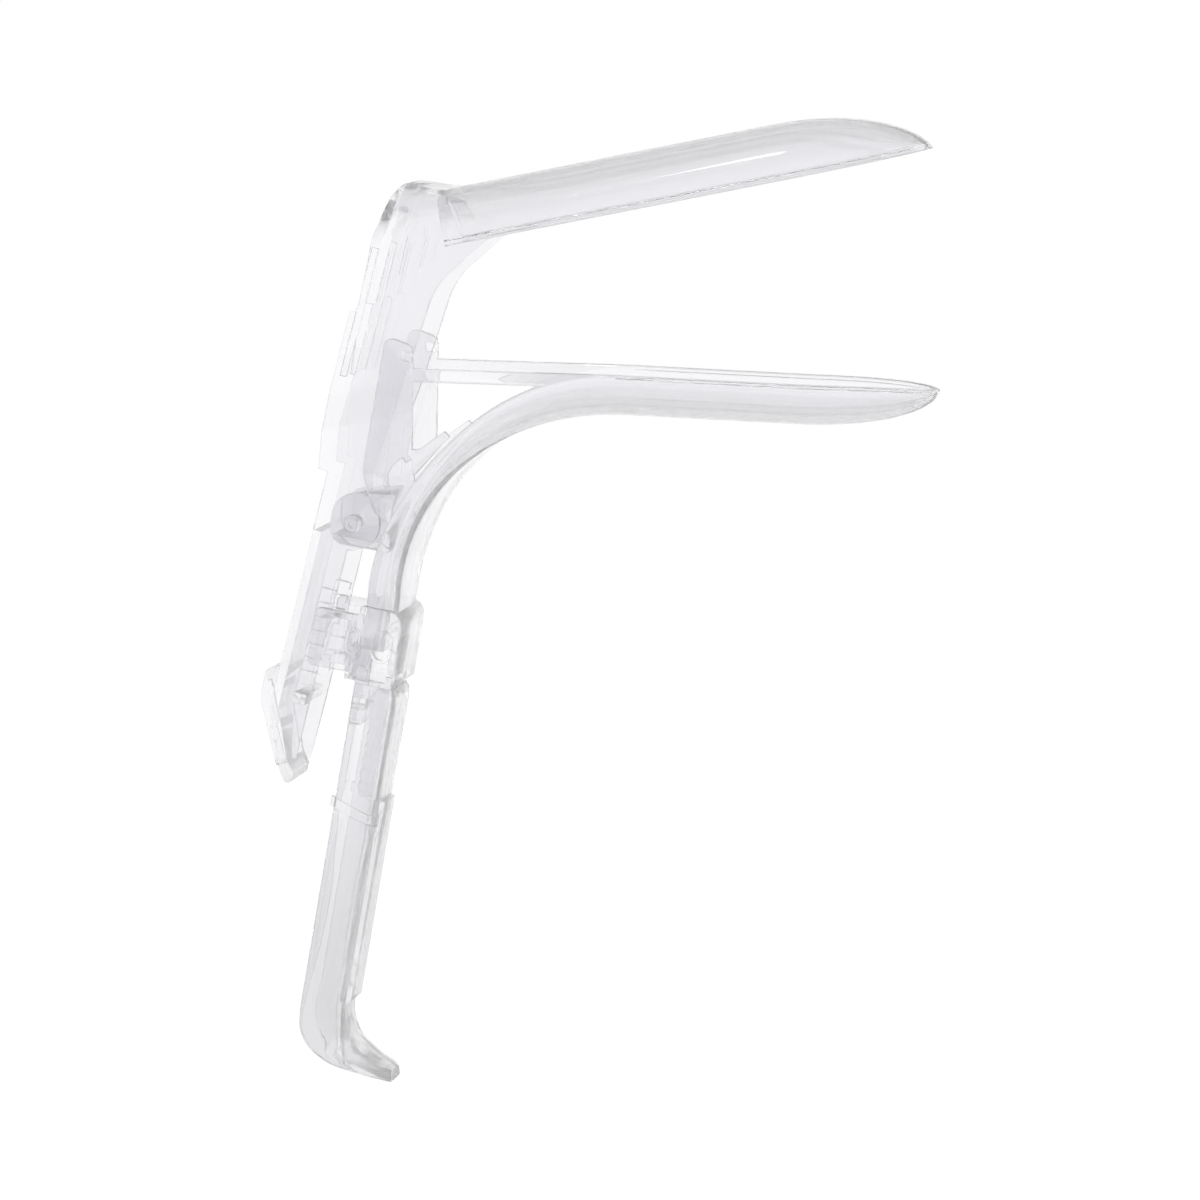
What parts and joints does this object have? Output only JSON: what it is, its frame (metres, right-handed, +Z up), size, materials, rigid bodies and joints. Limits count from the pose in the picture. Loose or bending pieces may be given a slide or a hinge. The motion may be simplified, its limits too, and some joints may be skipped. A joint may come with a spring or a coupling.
{
  "type": "bivalve speculum",
  "caption": "Clear moulded bivalve speculum: a trough-shaped lower blade bending down into a hooked open grip, and a hinged upper blade with thumb lever on a ratchet slide.",
  "frame": {"origin": "in the open trough of the grip, on the plane of symmetry, about half way up the length below the sleeve", "axes": "+X along the lower blade towards its tip, +Z up, +Y across; Y = 0 is the plane of symmetry"},
  "size_m": [0.1532, 0.029, 0.2237],
  "materials": {
    "clear_body": "clear gloss",
    "clear_slide": "clear gloss",
    "clear_blade": "clear gloss"
  },
  "bodies": {
    "body": {"blade_neck": "clear_body", "clasp_arm_left": "clear_body", "clasp_arm_right": "clear_body", "clasp_block": "clear_body", "clasp_rings_left": "clear_body", "clasp_rings_right": "clear_body", "frame_lug_left": "clear_body", "frame_lug_right": "clear_body", "frame_plate_left": "clear_body", "frame_plate_right": "clear_body", "front_strip": "clear_body", "grip_channel": "clear_body", "handle_sleeve": "clear_body", "height_rack": "clear_body", "lower_blade": "clear_body", "rim_bar_left": "clear_body", "rim_bar_right": "clear_body", "stem_guide": "clear_body", "tilt_rack_left": "clear_body", "tilt_rack_right": "clear_body"},
    "slide": {"slide_yoke": "clear_slide", "slide_stem": "clear_slide", "height_pawl": "clear_slide", "pivot_pin_left": "clear_slide", "pivot_pin_right": "clear_slide"},
    "upper": {"upper_blade": "clear_blade", "collar_arch": "clear_blade", "blade_leg_left": "clear_blade", "blade_leg_right": "clear_blade", "thumb_lever": "clear_blade", "thumb_pad": "clear_blade", "lever_steps_left": "clear_blade", "lever_steps_right": "clear_blade", "lever_crossbar": "clear_blade"}
  },
  "joints": [
    {"name": "height_slide", "type": "slide", "parent": "body", "child": "slide", "axis": [0.1547, 0, 0.988], "range_m": [-0.021, 0]},
    {"name": "blade_tilt", "type": "hinge", "parent": "slide", "child": "upper", "pos_m": [0.00207, 0, 0.08915], "axis": [0, -1, 0], "range_deg": [-12.5, 7]}
  ]
}
